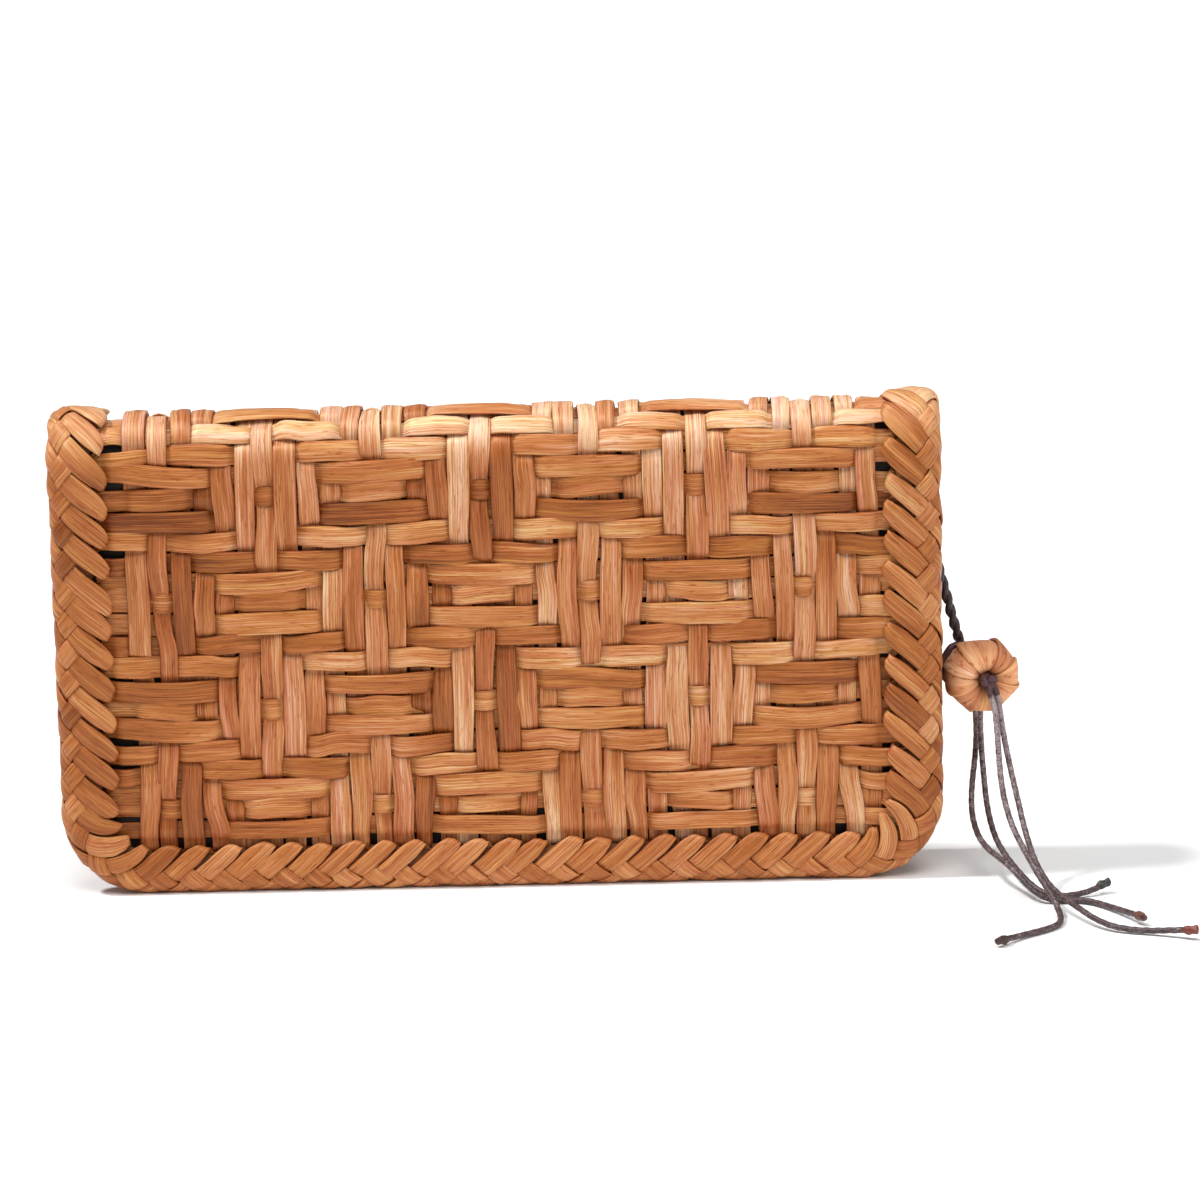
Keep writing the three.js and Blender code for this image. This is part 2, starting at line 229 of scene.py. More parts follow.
# The cords' routes
PULL_ROUTE = [
    (90.5, 0.7, 81.3), (91.2, 0.6, 78.8), (92.0, 0.5, 76.2), (92.7, 0.5, 73.6), (93.5, 0.5, 71.0),
    (94.3, 0.6, 68.4), (95.0, 0.9, 65.8), (95.7, 1.2, 63.2), (96.4, 1.7, 60.6), (97.1, 2.3, 58.0),
    (97.7, 3.0, 55.5), (98.4, 3.8, 53.0), (99.1, 4.9, 50.4), (100.0, 6.1, 47.8), (101.0, 7.0, 45.4),
]
TAILS = [
    {
        "length": 80,
        "end": [(30, 20, 18), (72, 46, 38)],
        "tip": (103.3, -62.7, 1.35),
        "route": [
            (105.1, -9.0, 40.6), (105.7, -10.3, 38.5), (106.1, -11.2, 36.3), (106.3, -12.2, 33.5),
            (106.5, -13.0, 29.9), (106.7, -13.9, 26.1), (107.0, -15.5, 22.1), (107.6, -17.9, 18.3),
            (108.7, -21.2, 14.5), (110.2, -25.2, 11.5), (111.8, -29.5, 9.0), (113.2, -33.8, 6.9),
            (114.6, -37.4, 5.1), (115.8, -40.8, 3.6), (116.5, -43.7, 2.1), (116.8, -46.8, 1.0),
            (115.9, -50.4, 0.8), (113.6, -53.3, 0.8), (110.9, -55.5, 0.8), (107.5, -58.3, 0.9),
            (104.3, -61.5, 1.2),
        ],
    },
    {
        "length": 86,
        "end": [(84, 34, 26), (136, 66, 50)],
        "tip": (142.3, -61.0, 2.1),
        "route": [
            (106.4, -8.2, 40.6), (106.9, -9.1, 38.6), (107.2, -9.9, 36.4), (107.6, -10.7, 33.3),
            (108.2, -11.8, 29.5), (108.9, -13.0, 25.8), (109.7, -14.8, 21.8), (110.5, -17.0, 18.0),
            (111.3, -20.0, 14.1), (112.1, -23.6, 11.0), (112.9, -27.8, 8.6), (114.0, -31.9, 6.7),
            (115.4, -35.6, 5.1), (117.0, -39.2, 4.1), (118.7, -42.8, 3.6), (120.8, -46.6, 2.9),
            (123.4, -50.6, 2.0), (126.6, -53.9, 1.3), (130.3, -55.9, 1.0), (134.1, -57.1, 1.0),
            (137.6, -58.6, 1.4), (140.95, -60.2, 1.9),
        ],
    },
    {
        "length": 93,
        "end": [(48, 27, 24), (128, 76, 56)],
        "tip": (133.1, -49.5, 1.9),
        "route": [
            (101.9, 7.9, 39.7), (102.4, 8.4, 37.0), (102.9, 8.7, 34.2), (103.3, 8.8, 31.2),
            (103.4, 8.2, 27.8), (103.2, 7.0, 24.7), (102.8, 5.2, 21.8), (102.1, 2.4, 18.1),
            (101.6, -1.2, 14.6), (101.6, -5.4, 11.6), (102.4, -10.4, 9.1), (103.9, -15.8, 7.8),
            (105.7, -20.4, 7.2), (107.6, -24.0, 6.3), (109.6, -27.2, 4.8), (111.7, -29.9, 3.0),
            (114.0, -31.9, 1.6), (116.6, -32.9, 0.9), (119.4, -33.0, 0.8), (122.2, -33.2, 0.8),
            (125.1, -35.0, 0.8), (128.0, -38.9, 0.9), (130.5, -43.7, 1.3), (132.5, -48.1, 1.75),
        ],
    },
    {
        "length": 73,
        "end": [(20, 22, 20), (66, 66, 58)],
        "tip": (127.8, -25.8, 2.1),
        "route": [
            (103.7, 7.4, 39.7), (104.2, 7.0, 37.0), (104.3, 6.7, 34.5), (104.2, 6.5, 31.6),
            (104.2, 6.1, 28.3), (104.3, 5.4, 25.1), (104.4, 4.0, 22.1), (104.6, 1.6, 18.2),
            (104.8, -1.6, 14.6), (105.3, -5.6, 11.2), (106.2, -9.9, 8.3), (107.6, -14.6, 6.2),
            (109.2, -19.2, 4.7), (111.0, -23.2, 3.3), (112.9, -26.4, 2.1), (115.0, -28.6, 1.2),
            (117.4, -29.5, 0.8), (119.8, -29.4, 0.8), (122.1, -28.8, 0.9), (124.4, -28.0, 1.2),
            (126.7, -26.8, 1.75),
        ],
    },
]

# The camera
CAMERA_TARGET = Vector((21.895, -9.0, 62.762))
CAMERA_DISTANCE = 1100
CAMERA_ELEVATION = math.radians(13)
CAMERA_ROLL = math.radians(-1.269)
CAMERA_SENSOR = 36
CAMERA_LENS = 154.49

# The light: each lamp's direction, softness in degrees and strength, and the room's own light
LAMPS = {
    "front_light": ((-0.1, 0.42, -0.9), 40, 1.6),
    "left_light": ((0.5, 0.03, -0.865), 7, 2.4),
    "right_light": ((-0.85, 0.3, -0.43), 40, 0.6),
}
ROOM_COLOUR = (0.96, 1.0, 1.0, 1.0)
ROOM_STRENGTH = 0.28
FLOOR_REACH = 4000

# Colours of the bark, from the darkest fibres to the lightest
UPRIGHT_STOPS = [
    (0.10, (104, 40, 8)), (0.36, (160, 85, 37)), (0.52, (187, 111, 63)),
    (0.67, (208, 146, 101)), (0.89, (239, 204, 168)),
]
CROSSWISE_STOPS = [
    (0.10, (108, 43, 8)), (0.36, (165, 91, 36)), (0.52, (193, 118, 62)),
    (0.67, (215, 154, 100)), (0.89, (242, 209, 168)),
]
PLAIT_STOPS = [
    (0.10, (108, 44, 8)), (0.36, (162, 90, 39)), (0.52, (187, 115, 63)),
    (0.68, (207, 146, 96)), (0.92, (232, 190, 145)),
]
PALE_STOPS = [
    (0.10, (168, 96, 56)), (0.36, (211, 141, 94)), (0.52, (229, 162, 113)),
    (0.68, (238, 181, 133)), (0.92, (252, 222, 188)),
]

# Colours of the cords, the bark's core and the lining, from dark to light
PULL_STOPS = [(0.3, (26, 18, 18)), (0.7, (74, 57, 56))]
KNOT_STOPS = [(0.3, (40, 18, 21)), (0.7, (98, 60, 66))]
TAIL_STOPS = [(0.33, (37, 25, 27)), (0.56, (77, 57, 58)), (0.7, (160, 144, 144))]
CORE_STOPS = [(0.3, (112, 63, 34)), (0.7, (146, 90, 52))]
LINING_STOPS = [(0.3, (20, 14, 12)), (0.7, (42, 32, 27))]

# Noise on the bark: its stretch across, along and between strips, and its detail
FINE_FIBRES = ((4.4, 0.05, 1.0), 3.0)
BROAD_BANDS = ((0.6, 0.04, 1.0), 2.0)
HAIRS = ((9.0, 0.16, 1.0), 2.0)
FLECKS = ((3.6, 0.3, 1.3), 1.0)
SPLITS = ((1.7, 0.015, 1.7), 1.0)
HUE_BANDS = ((0.7, 0.015, 1.0), 3.0)

# How much each noise counts in the bark's tone, and what is taken off their sum
FINE_SHARE = 0.8
BROAD_SHARE = 0.5
HAIR_SHARE = 0.5
TONE_BASE = 0.4

# Tints on the bark's colour, from low to high noise or nearness to an edge; the edge tint is painted shade,
# darker towards each strip's edges
PLAIN = (1, 1, 1, 1)
SPLIT_TINTS = [
    (0.448, PLAIN), (0.46, (0.66, 0.44, 0.28, 1)), (0.472, PLAIN),
    (0.56, PLAIN), (0.57, (0.74, 0.53, 0.38, 1)), (0.58, PLAIN),
]
FLECK_TINTS = [(0.63, PLAIN), (0.7, (0.72, 0.5, 0.34, 1))]
EDGE_PAINTED_SHADE = [(0.93, PLAIN), (1.0, (0.55, 0.33, 0.2, 1))]
HUE_TINTS = [(0.35, (1.0, 0.93, 1.12, 1)), (0.65, (1.0, 1.06, 0.94, 1))]
FIBRE_DEPTH = 0.16
FIBRE_ROUGHNESS = 0.3
BARK_GLOSS = 0.6
BARK_GLOSS_TINT = (1.0, 0.74, 0.48, 1.0)
THREAD_DEPTH = 0.12


# Materials

def linear(red, green, blue):
    """A colour given as 0 to 255 on screen, as the shader takes it."""
    shares = [value / 255 for value in (red, green, blue)]
    return [s / 12.92 if s <= 0.04045 else ((s + 0.055) / 1.055) ** 2.4 for s in shares] + [1.0]


class Paint:
    """A material while its nodes are being joined up."""

    def __init__(self, name):
        self.material = bpy.data.materials.new(name)
        self.material.use_nodes = True
        self.tree = self.material.node_tree
        self.shader = self.tree.nodes["Principled BSDF"]

    def add(self, kind, settings=None, **inputs):
        node = self.tree.nodes.new(kind)
        for key, value in (settings or {}).items():
            setattr(node, key, value)
        for key, value in inputs.items():
            self.feed(node.inputs[key.replace("_", " ").title()], value)
        return node

    def feed(self, socket, value):
        if isinstance(value, bpy.types.NodeSocket):
            self.tree.links.new(value, socket)
        else:
            socket.default_value = value

    def join(self, kind, operation, first, second):
        node = self.add(kind, {"operation": operation})
        self.feed(node.inputs[0], first)
        self.feed(node.inputs[1], second)
        return node.outputs[0]

    def maths(self, operation, first, second):
        return self.join("ShaderNodeMath", operation, first, second)

    def times(self, first, second):
        """One colour or vector times another."""
        return self.join("ShaderNodeVectorMath", "MULTIPLY", first, second)

    def attribute(self, name, output):
        return self.add("ShaderNodeAttribute", {"attribute_name": name}).outputs[output]

    def noise(self, vector, stretch, detail):
        """Noise on a vector stretched along its axes."""
        scaled = self.times(vector, stretch)
        return self.add("ShaderNodeTexNoise", vector=scaled, scale=1.0, detail=detail).outputs[0]

    def ramp(self, value, stops):
        node = self.tree.nodes.new("ShaderNodeValToRGB")
        elements = node.color_ramp.elements
        while len(elements) < len(stops):
            elements.new(0.5)
        for element, (position, colour) in zip(elements, stops):
            element.position = position
            element.color = colour
        self.feed(node.inputs[0], value)
        return node.outputs[0]

    def shades(self, value, stops):
        """A ramp of colours given as 0 to 255 on screen."""
        return self.ramp(value, [(position, linear(*colour)) for position, colour in stops])

    def look(self, setting, value):
        self.feed(self.shader.inputs[setting], value)

    def bump(self, height, depth, strength):
        node = self.add("ShaderNodeBump", height=height, distance=depth * MM, strength=strength)
        self.look("Normal", node.outputs[0])


def bark_material(name, stops, roughness=0.22, relief=0.8):
    """Split bark: fibres along the strip, darker lines between them, and painted shade at the edges."""
    paint = Paint(name)
    grain = paint.attribute("grain", "Vector")
    tone_with_painted_light = paint.attribute("tone_with_painted_light", "Fac")
    edge = paint.attribute("edge", "Fac")
    fine, broad, hair = (paint.noise(grain, *kind) for kind in (FINE_FIBRES, BROAD_BANDS, HAIRS))
    level = paint.maths("ADD", paint.maths("MULTIPLY", fine, FINE_SHARE),
                        paint.maths("MULTIPLY", broad, BROAD_SHARE))
    level = paint.maths("ADD", level, paint.maths("MULTIPLY", hair, HAIR_SHARE))
    level = paint.maths("ADD", paint.maths("SUBTRACT", level, TONE_BASE), tone_with_painted_light)
    lines = paint.ramp(paint.noise(grain, *SPLITS), SPLIT_TINTS)
    flecks = paint.ramp(paint.noise(grain, *FLECKS), FLECK_TINTS)
    # Painted shade: the colour darkens towards each strip's edges, where its neighbours shade it
    sides = paint.ramp(edge, EDGE_PAINTED_SHADE)
    hue = paint.ramp(paint.noise(grain, *HUE_BANDS), HUE_TINTS)
    colour = paint.times(paint.shades(level, stops), paint.times(paint.times(lines, flecks), sides))
    paint.look("Base Color", paint.times(colour, hue))
    paint.look("Roughness", paint.maths("ADD", paint.maths("MULTIPLY", fine, FIBRE_ROUGHNESS), roughness))
    paint.look("Specular IOR Level", BARK_GLOSS)
    paint.look("Specular Tint", BARK_GLOSS_TINT)
    fibres = paint.maths("ADD", fine, paint.maths("MULTIPLY", hair, HAIR_SHARE))
    paint.bump(fibres, FIBRE_DEPTH, relief)
    return paint.material


def thread_material(name, stops, roughness, spacing, painted_sheen_climb=0.0):
    """Cord or cloth: flecks of lighter and darker thread, with a painted sheen that makes it paler with each
    millimetre up, by the given share.
    """
    paint = Paint(name)
    place = paint.add("ShaderNodeTexCoord").outputs["Object"]
    fleck = paint.noise(place, (1 / (spacing * MM),) * 3, 2.0)
    patch = paint.noise(place, (0.2 / (spacing * MM),) * 3, 1.0)
    level = paint.maths("ADD", paint.maths("MULTIPLY", fleck, 0.7), paint.maths("MULTIPLY", patch, 0.3))
    height = paint.add("ShaderNodeSeparateXYZ", vector=place).outputs[2]
    # Painted sheen: the cord is made paler higher up, where its wax catches the light
    level = paint.maths("ADD", level, paint.maths("MULTIPLY", height, painted_sheen_climb / MM))
    paint.look("Base Color", paint.shades(level, stops))
    paint.look("Roughness", paint.maths("ADD", paint.maths("MULTIPLY", fleck, 0.2), roughness))
    paint.bump(fleck, THREAD_DEPTH, 0.5)
    return paint.material


def floor_material():
    paint = Paint("floor_paper")
    place = paint.add("ShaderNodeTexCoord").outputs["Object"]
    mottle = paint.noise(place, (40.0, 40.0, 40.0), 2.0)
    paint.look("Base Color", paint.ramp(mottle, [
        (0.3, (0.93, 0.93, 0.93, 1)),
        (0.7, (0.95, 0.95, 0.95, 1)),
    ]))
    paint.look("Roughness", 0.8)
    paint.look("Specular IOR Level", 0.1)
    return paint.material


# Meshes

def add_object(name, data):
    thing = bpy.data.objects.new(name, data)
    bpy.context.scene.collection.objects.link(thing)
    return thing


def new_piece(name, points, faces, material, node):
    """A piece from points in millimetres, riding on the wallet."""
    mesh = bpy.data.meshes.new(name)
    mesh.from_pydata((np.asarray(points) * MM).tolist(), [], faces)
    mesh.shade_smooth()
    mesh.materials.append(material)
    piece = add_object(name, mesh)
    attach(piece, "root")
    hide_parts(node)
    return piece


def outward(points, faces):
    """The faces, turned round if they point into the solid."""
    quads = np.array([face for face in faces if len(face) == 4])
    a, b, c, d = (points[quads[:, k]] for k in range(4))
    volume = np.einsum("ij,ij->", a, np.cross(b, c) + np.cross(c, d))
    return faces if volume > 0 else [face[::-1] for face in faces]


def ring_faces(count, samples, ring):
    """Faces of strips made of rings of points, closed at both ends."""
    strip, along, around = np.meshgrid(
        np.arange(count), np.arange(samples - 1), np.arange(ring), indexing="ij")
    start = (strip * samples + along) * ring
    following = (around + 1) % ring
    after = start + ring
    quads = np.stack([start + around, start + following, after + following, after + around], -1)
    faces = quads.reshape(-1, 4).tolist()
    for k in range(count):
        first = k * samples * ring
        last = first + (samples - 1) * ring
        faces.append(list(range(first + ring - 1, first - 1, -1)))
        faces.append(list(range(last, last + ring)))
    return faces


# Cross-section of a strip: place across it and rise, as shares of half its width and half its thickness
STRIP_ACROSS = np.array([-1.0, -0.96, -0.85, -0.4, 0.05, 0.45, 0.85, 0.96, 1.0, 0.7, -0.7])
STRIP_RISE = np.array([-0.3, 0.6, 0.92, 1.0, 1.0, 1.0, 0.92, 0.6, -0.3, -1.0, -1.0])
STRIP_FACE = range(2, 7)
RELIEF_WAVE = 0.6
RELIEF_SPANS = (17, 39)


def face_relief(count, along, size):
    """Low ridges and hollows along the outer face of each strip."""
    relief = np.zeros((count, along.size, STRIP_ACROSS.size))
    for point in STRIP_FACE:
        waves = RELIEF_WAVE * size, RELIEF_SPANS
        relief[:, :, point] = rng.normal(0, size, (count, 1)) + wander(count, along, *waves)
    return relief


def mark_strips(piece, across, along, tones):
    """What the bark material needs: places on each strip, its tone with painted light, and nearness to an
    edge, where shade is painted.
    """
    count, samples, ring = across.shape
    seeds = np.broadcast_to(rng.uniform(0, 400, (count, 1, 1)), across.shape)
    grain = np.stack([across, np.broadcast_to(along, across.shape), seeds], -1)
    half = np.abs(across).max(axis=2, keepdims=True)
    values = {
        "tone_with_painted_light": np.broadcast_to(tones[:, :, None], across.shape),
        "edge": np.abs(across) / half,
    }
    mesh = piece.data
    mesh.attributes.new("grain", "FLOAT_VECTOR", "POINT").data.foreach_set("vector", grain.ravel())
    for name, value in values.items():
        mesh.attributes.new(name, "FLOAT", "POINT").data.foreach_set("value", value.ravel())


def map_strips(piece, count, samples, ring):
    """A flat map of the strips side by side, with their ends in margins of their own."""
    margin = 0.02
    vertices = np.empty(len(piece.data.loops), dtype=int)
    piece.data.loops.foreach_get("vertex_index", vertices)
    strip, rest = np.divmod(vertices, samples * ring)
    along, around = np.divmod(rest, ring)
    sides = count * (samples - 1) * ring * 4
    firsts = around[:sides].reshape(-1, 4)
    wrapped = (firsts.max(axis=1) == ring - 1) & (firsts.min(axis=1) == 0)
    firsts = np.where(wrapped[:, None] & (firsts == 0), ring, firsts)
    across = around.astype(float)
    across[:sides] = firsts.ravel()
    flat_u = margin + (1 - 2 * margin) * along / (samples - 1)
    flat_v = (strip + 0.04 + 0.92 * across / ring) / count
    turn = 2 * np.pi * around[sides:] / ring
    outside = np.where(along[sides:] == 0, margin / 2, 1 - margin / 2)
    flat_u[sides:] = outside + 0.3 * margin * np.cos(turn)
    flat_v[sides:] = (strip[sides:] + 0.5 + 0.4 * np.sin(turn)) / count
    layer = piece.data.uv_layers.new(name="OFBake")
    layer.data.foreach_set("uv", np.stack([flat_u, flat_v], -1).ravel())


def strips_piece(name, grid, across, along, tones, material, node):
    """A piece made of strips: a grid of points for each strip, sample and place round it."""
    count, samples, ring = grid.shape[:3]
    points = grid.reshape(-1, 3)
    faces = outward(points, ring_faces(count, samples, ring))
    piece = new_piece(name, points, faces, material, node)
    mark_strips(piece, across, along, tones)
    map_strips(piece, count, samples, ring)
    return piece


def cut_corners(points, following):
    """Two points on each stretch of an outline, a quarter of it from either end."""
    cut = np.stack([0.75 * points + 0.25 * following, 0.25 * points + 0.75 * following], 1)
    return cut.reshape(-1, 2)


def smoothstep(share):
    """0 up to 0, 1 from 1 on, and an even S between them."""
    share = np.clip(share, 0, 1)
    return share * share * (3 - 2 * share)


def wander(count, along, size, spans):
    """Slow waves along each of several strips, each with its own phases."""
    total = np.zeros((count,) + along.shape)
    for span in spans:
        phase = rng.uniform(0, 2 * np.pi, (count, 1))
        total += np.sin(2 * np.pi * along / span + phase)
    return size * total / math.sqrt(len(spans))


# The sheet

def swell(u, v):
    """How far the walls bulge out between the rim and the fold."""
    across = np.clip(1 - (u / (WIDTH / 2 - RIM_WIDTH)) ** 2, 0, None)
    along = np.clip((np.minimum(v, LENGTH - v) - RIM_WIDTH) / (LEG - RIM_WIDTH), 0, 1)
    return BULGE * across * np.sin(np.pi * along) ** 2


def folded(u, v, n):
    """From the flat sheet to the folded one: u across, v up the front and down the back, n outwards."""
    out = FOLD_RADIUS + n + swell(u, v)
    turn = np.clip((v - LEG) / FOLD_RADIUS, 0, np.pi)
    height = LEG + out * np.sin(turn) + np.minimum(v - LEG, 0) - np.maximum(v - LEG - ARC, 0)
    return np.stack(np.broadcast_arrays(u, -out * np.cos(turn), height), -1)


SIDES = [
    ((-WIDTH / 2, LENGTH - CORNER_RADIUS), (0, -1), LENGTH - 2 * CORNER_RADIUS),
    ((CORNER_RADIUS - WIDTH / 2, 0), (1, 0), WIDTH - 2 * CORNER_RADIUS),
    ((WIDTH / 2, CORNER_RADIUS), (0, 1), LENGTH - 2 * CORNER_RADIUS),
    ((WIDTH / 2 - CORNER_RADIUS, LENGTH), (-1, 0), WIDTH - 2 * CORNER_RADIUS),
]
CORNER_LENGTH = (CORNER_RADIUS - RIM_CREST) * math.pi / 2
OUTLINE_LENGTH = sum(length + CORNER_LENGTH for _, _, length in SIDES)


def outline_point(travel, inset):
    """Where the outline is after some travel along the crest, and that far in from the edge."""
    travel, inset = np.broadcast_arrays(np.mod(travel, OUTLINE_LENGTH), inset)
    u = np.zeros(travel.shape)
    v = np.zeros(travel.shape)
    done = 0.0
    for (start_u, start_v), (along_u, along_v), length in SIDES:
        straight = np.clip(travel - done, 0, length)
        turn = np.clip((travel - done - length) / CORNER_LENGTH, 0, 1) * math.pi / 2
        on = (travel >= done) & (travel <= done + length + CORNER_LENGTH)
        radius = CORNER_RADIUS - inset
        inward = CORNER_RADIUS - radius * np.cos(turn)
        forward = straight + radius * np.sin(turn)
        u = np.where(on, start_u + along_u * forward - along_v * inward, u)
        v = np.where(on, start_v + along_v * forward + along_u * inward, v)
        done += length + CORNER_LENGTH
    return u, v


# The weave

def steps_from_diamond(index):
    """How far a row or column is from the nearest centre of the diamonds."""
    return np.abs((index + DIAMOND // 2) % DIAMOND - DIAMOND // 2)


def upright_is_over(column, row):
    steps = (steps_from_diamond(column) + steps_from_diamond(row)) % TWILL
    return np.isin(steps, UPRIGHT_STEPS)


def strip_heights(over, stations):
    """Height along each strip: up where it is over, down where it is under, arched on floats."""
    sign = np.where(over, 1.0, -1.0)
    same_before = np.pad(over[:, 1:] == over[:, :-1], ((0, 0), (1, 0)))
    same_after = np.pad(over[:, 1:] == over[:, :-1], ((0, 0), (0, 1)))
    arch = 0.5 * FLOAT_ARCH * (same_before.astype(float) + same_after)
    level = sign * (STRIP_LIFT + arch) + rng.normal(0, LEVEL_SPREAD, over.shape)
    even = smoothstep(SAMPLES_IN_PITCH)
    falling = smoothstep((SAMPLES_IN_PITCH - DIVE_START) / DIVE_SPAN)
    rising = 1 - smoothstep((1 - DIVE_START - SAMPLES_IN_PITCH) / DIVE_SPAN)
    heights = []
    for k in range(stations.size - 1):
        first = level[:, k:k + 1]
        second = level[:, k + 1:k + 2]
        dives = over[:, k:k + 1] & ~over[:, k + 1:k + 2]
        climbs = ~over[:, k:k + 1] & over[:, k + 1:k + 2]
        share = np.where(dives, falling, np.where(climbs, rising, even))
        heights.append(first + (second - first) * share)
    heights.append(level[:, -1:])
    return np.concatenate(heights, axis=1)


def strip_samples(stations):
    """Places along a strip: several from each crossing to the next."""
    gaps = np.diff(stations)
    places = stations[:-1, None] + gaps[:, None] * SAMPLES_IN_PITCH
    return np.append(places.ravel(), stations[-1])


def sheet_place(u, v, n):
    """A point of the weave, whose rows sag a little towards the left."""
    left = smoothstep((-u - SAG_START) / SAG_SPAN)
    front = smoothstep((v - SAG_CLEARANCE) / SAG_EASE)
    back = smoothstep((LENGTH - SAG_CLEARANCE - v) / SAG_EASE)
    return folded(u, v - ROW_SAG * left * (front * back) * np.sign(LENGTH / 2 - v), n)


def float_values(over, spread, bow, swelling=0.0):
    """A value along each strip: a level, slant and bow of its own on each float, and even in between."""
    crossings = np.arange(over.shape[1], dtype=float)
    samples = strip_samples(crossings)
    values = np.empty((over.shape[0], samples.size + 4))
    for strip, row in enumerate(over):
        places = []
        course = []
        for first, after in np.flatnonzero(np.diff(np.pad(row.astype(int), 1))).reshape(-1, 2):
            share = np.linspace(-1, 1, after - first)
            level, slant = rng.normal(0, spread, 2)
            places.extend(range(first, after))
            slanted = level + slant * share
            course.extend(slanted + rng.normal(swelling, bow) * (1 - share ** 2) - swelling / 2)
        values[strip] = np.pad(np.interp(samples, places, course), 2, mode="edge")
    weights = np.array([1, 2, 3, 2, 1]) / 9
    return sum(weight * values[:, k:k + samples.size] for k, weight in enumerate(weights))


def near_fold(grid):
    """0 on the upright walls to 1 on top of the fold, where light is painted on."""
    return smoothstep((grid[:, :, 0, 2] - FOLD_START) / FOLD_SPAN)


def towards_left(grid):
    """0 from the middle to the right, and up to 1 at the left side."""
    return smoothstep((-grid[:, :, 0, 0] - LEFT_START) / LEFT_SPAN)


def weave_strips(name, centres, pitch, stations, over, place, material, tones, loose):
    """Strips at their centres, crossing the others at the stations; place puts them on the sheet."""
    count = centres.size
    along = strip_samples(stations)
    height = strip_heights(over, stations)
    drift = rng.normal(0, STRIP_DRIFT, (count, 1))
    middle = centres[:, None] + drift + wander(count, along, *STRIP_WAVE)
    middle = middle + float_values(over, *FLOAT_COURSE)
    middle = middle + loose(along) * rng.normal(0, LOOSE_DRIFT, (count, 1))
    width = rng.normal(*STRIP_WIDTH, (count, 1))
    width = pitch * (width + float_values(over, *FLOAT_WIDTH))
    width = width * (1 + loose(along) * rng.normal(*LOOSE_WIDTH, (count, 1)))
    width = np.clip(width, NARROWEST_STRIP * pitch, WIDEST_STRIP * pitch)
    roll = float_values(over, *FLOAT_ROLL)
    half = width[:, :, None] / 2 * STRIP_ACROSS
    rise = STRIP_THICKNESS / 2 * STRIP_RISE + height[:, :, None] + roll[:, :, None] * half
    rise = rise + face_relief(count, along, STRIP_RELIEF) - STRIP_CROWN * STRIP_ACROSS ** 2
    grid = place(middle[:, :, None] + half, np.broadcast_to(along[None, :, None], half.shape), rise)
    shades = tones[:, None] + float_values(over, *FLOAT_TONE)
    # Painted light: strips on top of the fold are made paler where the light from above falls on them
    shades = shades + FOLD_PAINTED_LIGHT * near_fold(grid) - LEFT_DARKNESS * towards_left(grid)
    return strips_piece(name, grid, half, along[None, :, None], shades,
                        material, "woven_cover")


def loosened(place, much, start, span):
    return much * smoothstep((place - start) / span)


def make_weave(upright_bark, crosswise_bark):
    columns = COLUMN_SHIFT + COLUMN_PITCH * COLUMNS
    rows = ROW_TOP - ROW_PITCH * ROWS
    row_ends = np.concatenate([[ROWS[0] + 1], ROWS, [ROWS[-1] - 1]])
    column_ends = np.arange(COLUMNS[0] - 2, COLUMNS[-1] + 3)
    over = upright_is_over(COLUMNS[:, None], row_ends[None, :])
    over[:, [0, -1]] = False
    under = ~upright_is_over(column_ends[None, :], ROWS[:, None])
    under[:, [0, -1]] = False

    def near_bottom(along):
        return loosened(-np.minimum(along, LENGTH - along), *LOOSE_BOTTOM)

    def near_side(along):
        return loosened(-along, *LOOSE_LEFT) + loosened(along, *LOOSE_RIGHT)

    def row_place(across, along, rise):
        return sheet_place(along, across, rise)

    uprights = weave_strips(
        "weave_uprights", columns, COLUMN_PITCH, ROW_TOP - ROW_PITCH * row_ends, over, sheet_place,
        upright_bark, rng.normal(*UPRIGHT_TONE, columns.size), near_bottom)
    weave_strips(
        "weave_crosswise", rows, ROW_PITCH, COLUMN_SHIFT + COLUMN_PITCH * column_ends, under, row_place,
        crosswise_bark, rng.normal(*ROW_TONE, rows.size), near_side)
    return uprights


# The plaited rim

def rounded_section(section, rounds):
    """A closed outline with its corners cut back again and again."""
    for _ in range(rounds):
        section = cut_corners(section, np.roll(section, -1, axis=0))
    return section


RIM_OUTLINE = rounded_section(RIM_SECTION, 3)
PLAIT_PITCH = OUTLINE_LENGTH / STRANDS


def rim_surface(travel, reach, lift):
    """A point on the rim: travel along it, reach round its section from the crest inwards, lift off it."""
    from_crest = RIM_OUTLINE - (PLAIT_CREST, RIM_SECTION[:, 1].max())
    start = np.argmin(np.hypot(*from_crest.T))
    loop = np.roll(RIM_OUTLINE, -start, axis=0)
    loop = np.concatenate([loop, loop[:1]])
    steps = np.hypot(*np.diff(loop, axis=0).T)
    length = np.concatenate([[0], np.cumsum(steps)])
    ahead = np.roll(loop[:-1], -1, axis=0) - np.roll(loop[:-1], 1, axis=0)
    ahead = np.concatenate([ahead, ahead[:1]])
    ahead /= np.hypot(ahead[:, 0], ahead[:, 1])[:, None]
    place = np.mod(reach, length[-1])
    inset = np.interp(place, length, loop[:, 0]) - lift * np.interp(place, length, ahead[:, 1])
    height = np.interp(place, length, loop[:, 1]) + lift * np.interp(place, length, ahead[:, 0])
    edge = np.abs(outline_point(travel, np.zeros(1))[0])
    on_side = smoothstep((edge - WIDTH / 2 + CORNER_RADIUS) / CORNER_RADIUS)
    inner = smoothstep((inset - PLAIT_CREST) / (RIM_WIDTH - PLAIT_CREST))
    u, v = outline_point(travel, inset + SIDE_REACH * on_side * inner)
    points = folded(u, v, height)
    points[..., 2] = np.maximum(points[..., 2], FLOOR_CLEARANCE)
    return points


